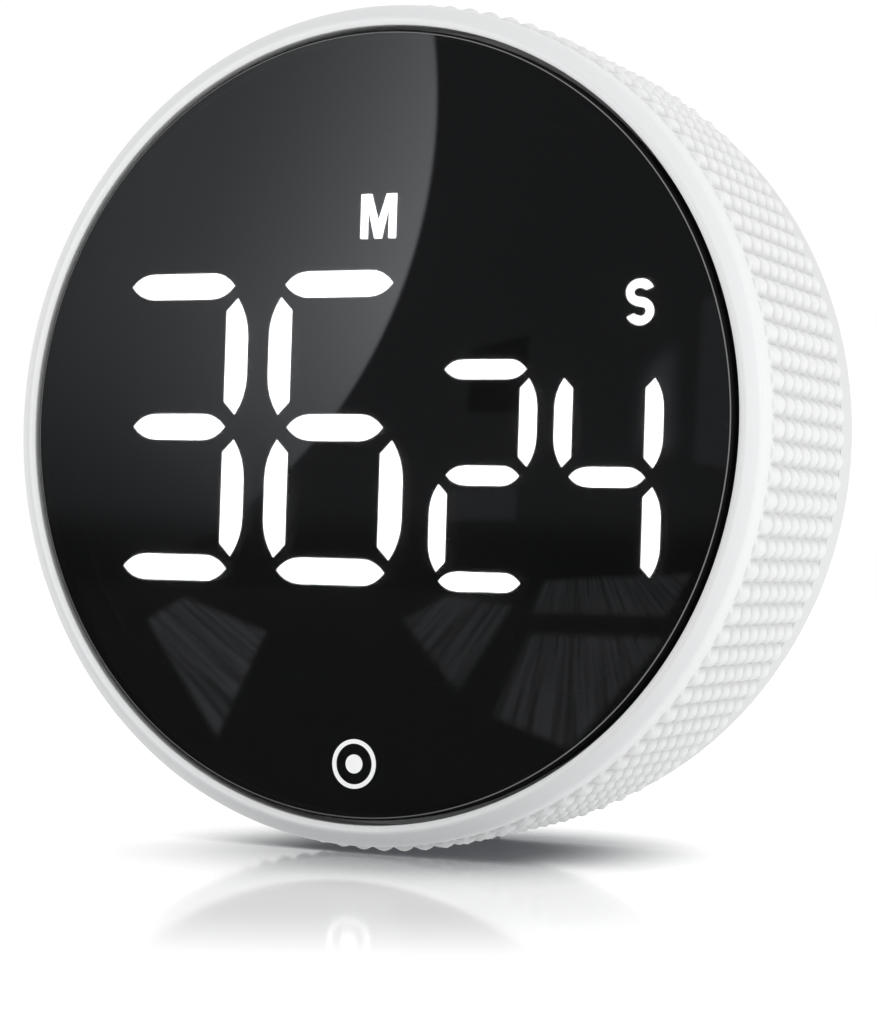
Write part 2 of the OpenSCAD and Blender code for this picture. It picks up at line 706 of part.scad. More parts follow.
module encoder_body() {
  base = gear_z1 + free + 2 * seat;
  color("dimgray") {
    difference() {
      at([0, pinion_y]) box([encoder_w, encoder_w], base, plate_z0);
      at([0, pinion_y]) disc(shaft_r + pin_play, base - 1, plate_z0 - 1);
    }
    for (i = [-1:1]) at([i * 2.5, pinion_y - 2]) disc(0.35, plate_z0 - eps, pin_tip_z);
  }
}

module encoder_pinion() {
  color("gainsboro") at([0, pinion_y]) {
    slab(gear_z0 + 4 * seat, gear_z1 - 4 * seat) polygon(tooth_outline(pinion_teeth, pinion_pitch_r, 1, 0));
    disc(shaft_r, gear_z0 + 4 * seat, plate_z0 - 1 - free);
  }
}

module tact_switch() {
  color("#2a2a2c") at([0, -tact_y]) difference() {
    box([tact[0], tact[0]], board_z1, board_z1 + tact[1]);
    disc(plunger[0] + 2 * seat, board_z1 + tact[1] - 1.6, board_z1 + tact[1] + 1);
  }
}

module tact_plunger() {
  top = board_z1 + tact[1];
  sunk = 1.6 - (hinge_y + tact_y) * sin(press_angle) - 4 * seat;
  color("firebrick") at([0, -tact_y]) disc(plunger[0], top - sunk, top + plunger[1]);
}

module buzzer() {
  color("#1a1a1a") at([0, -buzzer_y]) {
    disc(buzzer_size[0], floor_top, floor_top + buzzer_size[1]);
    for (s = [-1, 1]) at([s * buzzer_pins, 0]) disc(0.35, floor_top + buzzer_size[1] - eps, pin_tip_z);
  }
}

module switch_board() {
  z = floor_top + volume_size[2];
  color("darkgreen") at(volume_at) {
    box([volume_size[0] + 0.4, volume_size[1] + 1.4], z, z + 1);
    for (i = [-1:1]) at([2.5 * i, 0]) disc(0.35, z + 1 - eps, pin_tip_z);
  }
}

module volume_switch_body() {
  color("silver") at(volume_at) difference() {
    box([volume_size[0], volume_size[1]], floor_top, floor_top + volume_size[2]);
    box(slider_slot, floor_top - 1, floor_top + 2);
  }
}

module volume_slider() {
  color("#303236") at(volume_at) {
    box(slider_stem, back_z - slider_proud, floor_top + 2 - free);
  }
}

// Door over the cells: plate with a hinge barrel along its upper edge and a latch lip below
module battery_door() {
  pin_reach = door_half[0] + door_pin_len;
  color("whitesmoke") {
    block(door_half[0], -door_half[1], door_hinge[0], back_z, back_z + door_t);
    rod_x(-door_half[0], door_half[0], door_hinge[0], door_hinge[1], barrel_r);
    rod_x(-pin_reach, pin_reach, door_hinge[0], door_hinge[1], door_pin_r);
    block(latch[0], -door_half[1], -box_half[1], back_z + door_t - eps, back_z + door_t + latch[1]);
    for (s = [-1, 1]) translate([0, s * cell_pitch / 2, 0])
      block(cell_len / 2 - 2, -0.5, 0.5, back_z + door_t - eps, back_z + door_t + 1);
  }
}

// Cells lie side by side along X and point left and right in turn
module battery_side(i) {
  translate([0, (i - 2) * cell_pitch, cell_z]) mirror([i == 2 ? 1 : 0, 0, 0]) children();
}

module aaa_cell(i) {
  start = box_half[0] - contact_t - cell_len;
  r = cell_d / 2;
  body = cell_len - cell_nub[0];
  color("slategray") battery_side(i) translate([start, 0, 0]) rotate([0, 90, 0])
    rotate_extrude() polygon([[0, 0], [r - 0.4, 0], [r, 0.4], [r, body - 0.6], [r - 0.6, body],
      [cell_nub[1], body], [cell_nub[1], cell_len - 0.2], [cell_nub[1] - 0.2, cell_len], [0, cell_len]]);
}

// Plate against the box's end wall, with a tab up to the board
module contact_plate() {
  translate([0, -contact_w / 2, -contact_w / 2]) cube([contact_t, contact_w, contact_w]);
  translate([0, -tab_w / 2, 0]) cube([contact_t, tab_w, pin_tip_z - cell_z]);
}

module battery_plate(i) {
  color("silver") battery_side(i) translate([box_half[0] - contact_t, 0, 0]) contact_plate();
}

// Sprung contact: a cone of round wire on its plate
module battery_spring(i) {
  sides = 6;
  rings = 8 * spring_turns;
  run = spring_len - 2 * spring_wire - 0.04;
  path = [for (k = [0:rings])
    let (u = k / rings, a = 360 * spring_turns * u, r = spring_r[0] + (spring_r[1] - spring_r[0]) * u)
    [spring_wire + 0.02 + run * u, r * cos(a), r * sin(a)]];
  pts = [for (k = [0:rings]) let (a = 360 * spring_turns * k / rings) for (m = [0:sides - 1])
    path[k] + spring_wire * [sin(60 * m), cos(60 * m) * cos(a), cos(60 * m) * sin(a)]];
  skin = [for (k = [0:rings - 1]) for (m = [0:sides - 1])
    let (n = (m + 1) % sides, p = k * sides, q = p + sides)
    each [[p + m, p + n, q + n], [p + m, q + n, q + m]]];
  caps = [[for (m = [sides - 1:-1:0]) m], [for (m = [0:sides - 1]) rings * sides + m]];
  color("silver") battery_side(i) translate([-box_half[0], 0, 0]) {
    contact_plate();
    translate([contact_t, 0, 0]) polyhedron(pts, concat(skin, caps));
  }
}

module back_magnet(a) {
  color("silver") rotate(a) at([magnet_at, 0]) disc(magnet[0], back_z, back_z + magnet[1]);
}

module magnet_pad(a) {
  color("#4a4c50") rotate(a) at([magnet_at, 0]) disc(magnet_pad_r, 0, back_z);
}

module rest_pad() {
  color("#4a4c50") at([0, -rest_pad_y]) disc(rest_pad_r, 0, back_z);
}

// Flat foot under the rim, level with the front row of bumps: the timer stands upright on both and can't roll
module stand_foot() {
  reach = foot_half + foot_flare;
  top = sqrt(pow(rim_r + seat, 2) - pow(reach, 2));
  color("whitesmoke") slab(back_z + rim_chamfer, rim_top - 4 * seat) difference() {
    polygon([[-foot_half, -lead_r], [foot_half, -lead_r], [reach, -top], [-reach, -top]]);
    circle(rim_r + seat);
  }
}

module screw(shank_r, head, seat_z, tip_z, side) {
  difference() {
    union() {
      translate([0, 0, min(seat_z, tip_z)]) cylinder(r = shank_r, h = abs(tip_z - seat_z));
      translate([0, 0, side > 0 ? seat_z : seat_z - head[1]]) cylinder(r = head[0], h = head[1]);
    }
    for (a = [0, 90]) translate([0, 0, seat_z + side * head[1]]) rotate(a)
      cube([1.3 * head[0], 0.3 * head[0], 0.9 * head[1]], center = true);
  }
}

module housing_screws() {
  color("silver") four_corners(screw_at) screw(screw_r, screw_head, head_top, plate_z1 - 2 * free, -1);
}

module board_screws() {
  color("silver") for (p = board_screws_at) at(p)
    screw(board_screw_r, board_head, board_z1, plate_z0 + 2 * free, 1);
}

stand() rear_housing();
stand() chassis();
stand() bezel_ring();
stand() grip_band();
stand() ring_gear();
stand() front_panel();
stand() panel_frame();
stand() press_mark();
stand() hinge_pin();
stand() display_mask();
stand() display_reflector();
stand() digit(0);  // digit_minute_tens
stand() digit(1);  // digit_minute_units
stand() digit(2);  // digit_second_tens
stand() digit(3);  // digit_second_units
stand() unit_letter(true);  // minute_letter
stand() unit_letter(false);  // second_letter
stand() led_chips();
stand() main_board();
stand() controller_chip();
stand() capacitor();
stand() encoder_body();
stand() encoder_pinion();
stand() tact_switch();
stand() tact_plunger();
stand() buzzer();
stand() switch_board();
stand() volume_switch_body();
stand() volume_slider();
stand() battery_door();
stand() aaa_cell(1);  // aaa_cell_1
stand() aaa_cell(2);  // aaa_cell_2
stand() aaa_cell(3);  // aaa_cell_3
stand() battery_spring(1);  // battery_spring_1
stand() battery_spring(2);  // battery_spring_2
stand() battery_spring(3);  // battery_spring_3
stand() battery_plate(1);  // battery_plate_1
stand() battery_plate(2);  // battery_plate_2
stand() battery_plate(3);  // battery_plate_3
stand() back_magnet(90);  // magnet_top
stand() back_magnet(180);  // magnet_left
stand() back_magnet(0);  // magnet_right
stand() magnet_pad(90);  // magnet_pad_top
stand() magnet_pad(180);  // magnet_pad_left
stand() magnet_pad(0);  // magnet_pad_right
stand() rest_pad();
stand() stand_foot();
stand() housing_screws();
stand() board_screws();
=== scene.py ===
import bpy
import bmesh
from math import cos, sin, pi, radians
from mathutils import Matrix, Vector


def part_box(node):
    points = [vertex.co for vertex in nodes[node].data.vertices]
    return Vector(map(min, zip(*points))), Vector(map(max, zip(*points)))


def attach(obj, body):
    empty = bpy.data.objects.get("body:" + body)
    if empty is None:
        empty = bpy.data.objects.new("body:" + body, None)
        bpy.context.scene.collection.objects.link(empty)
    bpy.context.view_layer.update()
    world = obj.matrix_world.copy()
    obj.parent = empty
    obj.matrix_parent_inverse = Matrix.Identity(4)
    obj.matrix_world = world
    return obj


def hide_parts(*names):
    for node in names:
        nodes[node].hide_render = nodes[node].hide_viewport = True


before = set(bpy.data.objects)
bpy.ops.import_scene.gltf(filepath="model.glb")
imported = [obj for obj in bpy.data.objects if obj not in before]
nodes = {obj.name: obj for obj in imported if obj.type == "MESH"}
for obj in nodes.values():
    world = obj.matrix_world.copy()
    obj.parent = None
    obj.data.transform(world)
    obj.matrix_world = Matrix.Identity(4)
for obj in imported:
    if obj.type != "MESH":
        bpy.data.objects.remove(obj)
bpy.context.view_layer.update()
scene = bpy.context.scene
print("frame loaded:", len(nodes), "nodes")

# drawing millimetres, face up with the top along y, to the row's metres
toRow = Matrix(((0.001, 0, 0, 0), (0, 0, -0.001, 0.0135), (0, 0.001, 0, 0.039), (0, 0, 0, 1)))


class Wire:  # a socket that takes part in sums
    def __init__(self, desk, socket):
        self.desk, self.socket = desk, socket

    def sum(self, operation, *values):
        return self.desk.node("ShaderNodeMath", {"operation": operation}, values)

    def __add__(self, other): return self.sum("ADD", self, other)
    def __radd__(self, other): return self.sum("ADD", other, self)
    def __sub__(self, other): return self.sum("SUBTRACT", self, other)
    def __rsub__(self, other): return self.sum("SUBTRACT", other, self)
    def __mul__(self, other): return self.sum("MULTIPLY", self, other)
    def __rmul__(self, other): return self.sum("MULTIPLY", other, self)
    def __truediv__(self, other): return self.sum("DIVIDE", self, other)
    def __rtruediv__(self, other): return self.sum("DIVIDE", other, self)
    def __pow__(self, other): return self.sum("POWER", self, other)
    def __abs__(self): return self.sum("ABSOLUTE", self)

    def out(self, name):
        return Wire(self.desk, self.socket.node.outputs[name])


class Desk:  # the node tree of a material or of the world
    def __init__(self, owner):
        owner.use_nodes = True
        self.owner, self.tree = owner, owner.node_tree
        self.tree.nodes.clear()

    def node(self, kind, settings=None, values=None, output=0):
        made = self.tree.nodes.new(kind)
        for key, value in (settings or {}).items():
            setattr(made, key, value)
        pairs = values.items() if isinstance(values, dict) else enumerate(values or ())
        for key, value in pairs:
            if isinstance(value, Wire):
                self.tree.links.new(value.socket, made.inputs[key])
            elif value is not None:
                made.inputs[key].default_value = value
        return Wire(self, made.outputs[output]) if len(made.outputs) else made

    def place(self):
        return self.node("ShaderNodeTexCoord", output="Object")

    def noise(self, where, scale, detail=2.0, stretch=None):
        if stretch:
            where = self.node("ShaderNodeMapping", {"vector_type": "POINT"},
                              {"Vector": where, "Scale": stretch})
        return self.node("ShaderNodeTexNoise", {}, {"Vector": where, "Scale": scale, "Detail": detail})

    def ease(self, value, start, end, low=0.0, high=1.0):
        return self.node("ShaderNodeMapRange", {"interpolation_type": "SMOOTHSTEP"},
                         {"Value": value, "From Min": start, "From Max": end, "To Min": low, "To Max": high})

    def blend(self, share, first, second):
        return self.node("ShaderNodeMix", {"data_type": "RGBA"}, {0: share, 6: first, 7: second}, 2)

    def bump(self, height, strength, distance, normal=None):
        return self.node("ShaderNodeBump", {}, {"Strength": strength, "Distance": distance, "Height": height,
                                                "Normal": normal})

    def surface(self, **sockets):
        named = {key.replace("_", " "): value for key, value in sockets.items()}
        shader = self.node("ShaderNodeBsdfPrincipled", {}, named)
        self.node("ShaderNodeOutputMaterial", {}, {"Surface": shader})
        return self.owner


def grey(value):
    return (value, value, value, 1.0)


def tint(colour, share=1.0):
    return [min(1.0, c * share) for c in colour] + [1.0]


def newFinish(name):
    return Desk(bpy.data.materials.new(name))


# camera at the photograph's angle
shot = {"right": (0.88562484, 0.46337116, 0.03091629), "up": (-0.01685221, -0.03446221, 0.99926391),
        "back": (0.46409552, -0.88549394, -0.02271176), "place": (0.136135, -0.2582, 0.02483), "lens": 108.32}
cameraData = bpy.data.cameras.new("photoCamera")
cameraData.lens, cameraData.sensor_width, cameraData.sensor_fit = shot["lens"], 36.0, "AUTO"
cameraData.clip_start, cameraData.clip_end = 0.01, 50.0
camera = bpy.data.objects.new("photoCamera", cameraData)
turn = Matrix((shot["right"], shot["up"], shot["back"])).transposed().to_4x4()
camera.matrix_world = Matrix.Translation(shot["place"]) @ turn
scene.collection.objects.link(camera)
scene.camera = camera
scene.view_settings.view_transform = "Standard"
print("camera set")

# white studio with a soft key from the right: what is glossy sees a dim room with a round softbox in front
studio = {"backdrop": 1.02, "ambient": 0.8, "fromAbove": 0.05, "key": 2.9, "keyFrom": (0.94, -0.25, 0.22),
          "keyTight": 16.0, "lamp": 4.5, "lampTight": 60.0, "eye": (136.13, -14.17), "eyeDistance": 244.8,
          "leastFront": 0.02, "turnedAway": 0.12, "wall": 0.2, "ground": 0.085, "skirting": (-11.0, -7.0),
          "darkest": 0.02, "cast": (0.955, 1.0, 1.05, 1.0)}
softbox = {"centre": (-37.95, 28.36), "radius": 44.32, "edge": 0.3, "base": 0.63, "glow": 1.65, "foot": (-16.0, 14.0),
           "side": (-46.0, -20.0, 0.45), "lean": 0.4, "leanHeight": 26.0, "leanStart": -22.0, "leanLength": 28.0}
planks = {"scale": 24.0, "drift": 0.004, "grain": (0.3, 0.68), "tones": (0.4, 1.45)}
# what the room holds: corners clockwise in the panel's millimetres, brightness, softness, where its planks meet
roomThings = {"leftSun": ([(-22.7, -18.6), (-18.8, -16.3), (-9.8, -19.3), (-14.7, -29.1)], 0.44, 0.5, (-64.5, 15.0)),
              "middleSun": ([(4.5, -17.7), (9.0, -15.3), (15.3, -16.1), (10.4, -23.9)], 0.31, 0.5, (29.0, 4.6)),
              "rightSun": ([(17.3, -18.5), (30.3, -18.4), (21.5, -28.4), (14.0, -25.9)], 0.32, 0.5, (21.7, -6.0)),
              "farSun": ([(18.6, -13.8), (32.5, -12.8), (30.3, -16.5), (17.6, -16.6)], 0.27, 0.4, (21.7, -6.0)),
              "couch": ([(9.1, -6.0), (15.5, -5.6), (15.6, -8.5), (8.4, -8.6)], 0.16, 0.4, None),
              "blind": ([(27.6, 4.8), (30.2, 6.6), (30.5, -2.0), (27.1, -2.1)], 0.35, 1.2, None),
              "window": ([(32.9, 10.9), (36.0, 11.5), (36.5, -3.8), (32.5, -3.2)], 0.16, 0.5, None),
              "poster": ([(10.8, 6.8), (16.4, 8.0), (16.0, 1.0), (10.3, 1.0)], -0.12, 0.4, None)}


def lightStudio(s, box, boards, things):
    world = bpy.data.worlds.new("studio")
    scene.world = world
    desk = Desk(world)
    heading = desk.node("ShaderNodeTexCoord", output="Generated")
    ray = desk.node("ShaderNodeSeparateXYZ", {}, [heading])
    x, y, z = ray, ray.out("Y"), ray.out("Z")
    front = 0 - y
    safe = front.sum("MAXIMUM", front, s["leastFront"])
    u = s["eye"][0] + s["eyeDistance"] * (x / safe)    # where the panel shows this direction, in millimetres
    v = s["eye"][1] + s["eyeDistance"] * (z / safe)
    across, upward = u - box["centre"][0], v - box["centre"][1]
    reach = (across * across + upward * upward) ** 0.5
    inside = desk.ease(reach, box["radius"] + box["edge"], box["radius"] - box["edge"])
    lean = (u - box["lean"] * (v - box["leanHeight"]) - box["leanStart"]) / box["leanLength"]
    glow = box["base"] + box["glow"] * lean.sum("MAXIMUM", lean, 0.0) ** 2.0    # brighter towards its right edge
    sideStart, sideEnd, sideTone = box["side"]
    boxLight = inside * desk.ease(v, *box["foot"]) * desk.ease(u, sideStart, sideEnd, sideTone, 1.0) * glow
    room = desk.ease(v, *s["skirting"], s["ground"], s["wall"])
    for corners, brightness, soft, meeting in things.values():
        shape = brightness
        if meeting:
            fan = (u - meeting[0]) / (meeting[1] - v)
            where = desk.node("ShaderNodeCombineXYZ", {}, [fan, boards["drift"] * v])
            shape = brightness * desk.ease(desk.noise(where, boards["scale"], 3.0), *boards["grain"], *boards["tones"])
        for first, second in zip(corners, corners[1:] + corners[:1]):
            run, rise = second[0] - first[0], second[1] - first[1]
            length = (run * run + rise * rise) ** 0.5
            depth = (rise / length) * u - (run / length) * v + (run * first[1] - rise * first[0]) / length
            shape = desk.ease(depth, -soft, soft) * shape
        room = room + shape
    seen = boxLight + room.sum("MAXIMUM", room, s["darkest"])
    behind = desk.ease(front, s["turnedAway"], 0.0)
    facing = desk.node("ShaderNodeVectorMath", {"operation": "DOT_PRODUCT"}, [heading, s["keyFrom"]], "Value")
    toKey = facing.sum("MAXIMUM", facing, 0.0)
    mirror = (seen + s["lamp"] * toKey ** s["lampTight"]) * (1 - behind) + behind * s["backdrop"]
    ambient = s["ambient"] + s["fromAbove"] * z + s["key"] * toKey ** s["keyTight"]
    glossy = desk.node("ShaderNodeLightPath", output="Is Glossy Ray")
    cameraRay = desk.node("ShaderNodeLightPath", output="Is Camera Ray")
    level = glossy * mirror + (1 - glossy) * (cameraRay * s["backdrop"] + (1 - cameraRay) * ambient)
    cast = desk.blend(glossy * (1 - behind), grey(1.0), s["cast"])
    background = desk.node("ShaderNodeBackground", {}, {"Color": cast, "Strength": level})
    desk.node("ShaderNodeOutputWorld", {}, {"Surface": background})


lightStudio(studio, softbox, planks, roomThings)

# pale floor in metres: its mirror lies in front of the timer, its contact shadow painted into its colour and glow
# round the lowest point
floorSpec = {"half": 6.0, "white": 0.98, "cloud": 0.01, "glow": 0.36, "gloss": 0.43, "blur": 0.07, "narrow": 1.7,
             "mirrorEnd": (0.12, 0.06), "mirrorBack": (0.02, 0.0), "mirrorOpen": (0.1, 0.6), "contact": 0.034,
             "contactOpen": (0.46, 1.06), "contactShadeTone": (0.123, 0.13, 0.138, 1.0), "shadeMiddle": (0.004, -0.008),
             "shadeEnd": (0.029, 0.008), "stretch": 0.25, "indirect": 0.45}


def layFloor(s):
    bm = bmesh.new()
    bmesh.ops.create_grid(bm, x_segments=2, y_segments=2, size=s["half"])
    mesh = bpy.data.meshes.new("floor")
    bm.to_mesh(mesh)
    bm.free()
    floor = bpy.data.objects.new("floor", mesh)
    scene.collection.objects.link(floor)
    desk = newFinish("paleFloor")
    where = desk.place()
    spot = desk.node("ShaderNodeSeparateXYZ", {}, [where])
    depth = spot.out("Y")
    looked = desk.node("ShaderNodeLightPath", output="Is Camera Ray")
    away = (s["narrow"] * spot * spot + depth * depth) ** 0.5
    fade = desk.ease(away, *s["mirrorEnd"]) * desk.ease(depth, *s["mirrorBack"])
    tone = desk.blend(desk.noise(where, 6.0), grey(s["white"]), grey(s["white"] + s["cloud"]))
    clear = desk.node("ShaderNodeAmbientOcclusion", {"samples": 8}, {"Distance": s["contact"]}, "AO")
    aside, ahead = spot - s["shadeMiddle"][0], depth - s["shadeMiddle"][1]
    near = desk.ease((aside ** 2.0 + s["stretch"] * ahead ** 2.0) ** 0.5, *s["shadeEnd"])
    strength = s["indirect"] + (1 - s["indirect"]) * looked
    # painted shadow: where the occlusion and the ellipse round the contact meet, the floor's colour and glow are
    # darkened
    shade = (1 - desk.ease(clear, *s["contactOpen"])) * near * strength
    paint = desk.node("ShaderNodeBsdfDiffuse", {}, {"Color": desk.blend(shade, tone, s["contactShadeTone"])})
    lamp = desk.node("ShaderNodeEmission", {}, {"Color": desk.blend(shade, grey(1.0), s["contactShadeTone"]),
                                                "Strength": s["glow"]})
    table = desk.node("ShaderNodeAddShader", {}, [paint, lamp])
    mirror = desk.node("ShaderNodeBsdfGlossy", {}, {"Color": grey(1.0), "Roughness": s["blur"]})
    share = fade * desk.ease(clear, *s["mirrorOpen"]) * s["gloss"]
    mixed = desk.node("ShaderNodeMixShader", {}, [share, table, mirror])
    desk.node("ShaderNodeOutputMaterial", {}, {"Surface": mixed})
    mesh.materials.append(desk.owner)
    floor.visible_glossy = False


layFloor(floorSpec)
print("studio lit")


# finishes, with the height of their finest grain in metres
hair = 0.00001


def satinPlastic(name, colour, rough, grain=0.12, softEdge=0.0):
    desk = newFinish(name)
    where = desk.place()
    cloud = desk.noise(where, 38.0)
    speck = desk.noise(where, 4200.0, 3.0)
    tone = desk.blend(cloud, tint(colour, 0.975), tint(colour))
    edge = desk.node("ShaderNodeBevel", {"samples": 6}, {"Radius": softEdge}) if softEdge else None
    return desk.surface(Base_Color=tone, Roughness=rough - 0.04 + 0.05 * cloud + 0.04 * speck, IOR=1.5,
                        Normal=desk.bump(speck, grain, hair, edge))


def pearlGrip(name, crestColour, grooveShadeColour):
    desk = newFinish(name)
    where = desk.place()
    height = desk.node("ShaderNodeAttribute", {"attribute_name": "crest"}, output="Fac")
    cloud = desk.noise(where, 60.0)
    speck = desk.noise(where, 5200.0, 3.0)
    # painted shade: the grooves between the bumps are painted darker than the crests, and a faint random cloud
    # lightens it
    depth = desk.ease(height, 0.0, 0.7)
    tone = desk.blend(depth, tint(grooveShadeColour), tint(crestColour))
    shadeAndWear = desk.blend(0.03 * cloud, tone, grey(0.74))
    return desk.surface(Base_Color=shadeAndWear, Roughness=0.46 - 0.14 * depth + 0.04 * speck, IOR=1.5,
                        Normal=desk.bump(speck, 0.08, hair))


def smokedAcrylic(name, smoke, haze):
    desk = newFinish(name)
    film = desk.noise(desk.place(), 90.0, 4.0)
    tone = desk.blend(film, grey(smoke), grey(smoke * 1.04))
    clear, milky = [desk.node("ShaderNodeBsdfPrincipled", {}, {"Base Color": tone, "Roughness": rough, "IOR": 1.49,
                                                               "Transmission Weight": 1.0})
                    for rough in (0.004 + 0.01 * film, 0.3)]
    mixed = desk.node("ShaderNodeMixShader", {}, [haze, clear, milky])    # a little haze round the lit segments
    desk.node("ShaderNodeOutputMaterial", {}, {"Surface": mixed})
    return desk.owner


def edgeLine(name, tone):  # a thin line round the panel's edge: black ink, or a grey painted highlight on the chamfer
    desk = newFinish(name)
    grain = desk.noise(desk.place(), 3000.0, 3.0)
    return desk.surface(Base_Color=desk.blend(grain, grey(0.9 * tone), grey(1.1 * tone)),
                        Roughness=0.5 + 0.15 * grain, Specular_IOR_Level=0.12, Normal=desk.bump(grain, 0.1, hair))


def litDiffuser(name, strength, rough=0.4):
    desk = newFinish(name)
    milk = desk.noise(desk.place(), 700.0)
    return desk.surface(Base_Color=desk.blend(milk, grey(0.78), grey(0.82)), Roughness=rough,
                        Emission_Strength=strength,
                        Emission_Color=desk.blend(milk, (0.96, 0.97, 1.0, 1.0), grey(1.0)))


def mouldedPart(name, colour, rough, speckle=0.25, size=2600.0):
    desk = newFinish(name)
    where = desk.place()
    cloud = desk.noise(where, 120.0)
    speck = desk.noise(where, size, 3.0)
    tone = desk.blend(0.6 * speck + 0.4 * cloud, tint(colour, 1 - speckle), tint(colour, 1 + speckle))
    return desk.surface(Base_Color=tone, Roughness=rough - 0.06 + 0.12 * cloud,
                        Normal=desk.bump(speck, 0.2, 2 * hair))


def platedSteel(name, colour, stretch):
    desk = newFinish(name)
    where = desk.place()
    brush = desk.noise(where, 900.0, 3.0, stretch)
    cloud = desk.noise(where, 260.0)
    tone = desk.blend(cloud, tint(colour, 0.86), tint(colour))
    return desk.surface(Base_Color=tone, Metallic=1.0, Roughness=0.22 + 0.16 * brush,
                        Normal=desk.bump(brush, 0.15, hair))


# dark sleeve with a band, bare metal at both ends: places along the cell in metres
cellSpec = {"sleeve": (0.02, 0.023, 0.03, 1.0), "sleeveEnd": (0.0206, 0.0202), "band": (0.06, 0.2, 0.3, 1.0),
            "bandEnd": (0.0096, 0.0092), "bare": 0.66}


def cellSleeve(name, s):
    desk = newFinish(name)
    where = desk.place()
    along = abs(desk.node("ShaderNodeSeparateXYZ", {}, [where]))
    sleeve = desk.ease(along, *s["sleeveEnd"])
    grain = desk.noise(where, 900.0, 3.0)
    label = desk.blend(desk.ease(along, *s["bandEnd"]), s["sleeve"], s["band"])
    return desk.surface(Base_Color=desk.blend(sleeve, grey(s["bare"]), label), Metallic=1 - 0.8 * sleeve,
                        Roughness=0.27 + 0.14 * grain, Normal=desk.bump(grain, 0.1, hair))


shellWhite = satinPlastic("shellWhite", (0.755, 0.76, 0.765), 0.3)
# the inner slope's white is painted lighter than the shell's: a painted highlight
slopePaintedHighlight = satinPlastic("slopePaintedHighlight", (0.845, 0.85, 0.855), 0.2)
rearWhite = satinPlastic("rearWhite", (0.65, 0.655, 0.66), 0.42, 0.3, 0.00018)
# the grip's second colour is painted shade for the grooves between its bumps
gripWhite = pearlGrip("gripWhite", (0.74, 0.743, 0.747), (0.59, 0.593, 0.597))
smoked = smokedAcrylic("smokedPanel", 0.05, 0.09)
# a grey line painted on the chamfer as its highlight
chamferHighlight = edgeLine("chamferPaintedHighlight", 0.18)
edgeInk = edgeLine("edgeInk", 0.003)
lit = litDiffuser("litSegment", 36.0)
printGrey = mouldedPart("printGrey", (0.22, 0.225, 0.23), 0.5, 0.1)
unlit = mouldedPart("restingSegment", (0.03, 0.03, 0.032), 0.5)
print("finishes mixed")


def softShade(bm, sharp):
    bmesh.ops.remove_doubles(bm, verts=bm.verts, dist=0.0005)
    bmesh.ops.recalc_face_normals(bm, faces=bm.faces)
    for face in bm.faces:
        face.smooth = True
    for edge in bm.edges:
        edge.smooth = len(edge.link_faces) == 2 and edge.calc_face_angle(0.0) < radians(sharp)


def placePiece(bm, name, finishes, body, replaced, sharp=30.0):
    softShade(bm, sharp)
    bmesh.ops.transform(bm, matrix=toRow, verts=bm.verts)
    return keepPiece(bm, name, finishes, body, replaced)


def keepPiece(bm, name, finishes, body, replaced):
    mesh = bpy.data.meshes.new(name)
    bm.to_mesh(mesh)
    bm.free()
    for finish in finishes:
        mesh.materials.append(finish)
    piece = bpy.data.objects.new(name, mesh)
    scene.collection.objects.link(piece)
    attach(piece, body)
    if replaced:
        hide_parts(*replaced)
    return piece


def spunProfile(outline, rounds, steps, closed):
    bm = bmesh.new()
    line = [bm.verts.new((r, 0.0, z)) for r, z in outline]
    for first, second in zip(line, line[1:] + line[:1] if closed else line[1:]):
        bm.edges.new((first, second))
    for index, (offset, segments) in rounds.items():
        bmesh.ops.bevel(bm, geom=[line[index]], offset=offset, offset_type="OFFSET", segments=segments,
                        profile=0.5, affect="VERTICES", material=-1)
    bmesh.ops.spin(bm, geom=bm.verts[:] + bm.edges[:], cent=(0, 0, 0), axis=(0, 0, 1), dvec=(0, 0, 0),
                   angle=2 * pi, steps=steps, use_merge=True)
    return bm


# white bezel with its skirt: radius and height of each corner, and the roundings by corner
bezelSpec = {"outline": [(36.45, 23.6), (36.45, 26.67), (37.1, 27.0), (38.42, 26.05), (38.42, 24.0), (36.75, 24.0),
                         (36.75, 4.8), (35.65, 4.8), (35.65, 23.6)],
             "rounds": {1: (0.08, 3), 2: (0.25, 4), 3: (0.36, 5)}, "steps": 300,
             "slopeRadius": 37.0, "slopeHeight": 26.62}


def bezelRing(s):  # its inner slope is painted brighter, a painted highlight, and is glossier
    bm = spunProfile(s["outline"], s["rounds"], s["steps"], True)
    for face in bm.faces:
        middle = face.calc_center_median()
        face.material_index = int(middle.z > s["slopeHeight"] and middle.xy.length < s["slopeRadius"])
    return bm


bezel = placePiece(bezelRing(bezelSpec), "bezel", [shellWhite, slopePaintedHighlight], "knob", ["bezel_ring"])
print("bezel turned:", len(bezel.data.polygons), "faces")

# knurled band: one row of bumps from front to back, set round the ring
gripSpec = {"rows": 114, "columns": 8, "leadRadius": 39.0, "taper": 0.65, "depth": 0.7, "front": 24.0,
            "back": 4.8, "leadLength": 3.0, "flush": 38.42, "bore": 36.8, "fine": 6, "roundAcross": 1.2,
            "roundAlong": 1.15, "leadRound": 0.9, "leadIn": 0.06}


def swell(t, power):
    return max(0.0, 1 - t * t) ** power


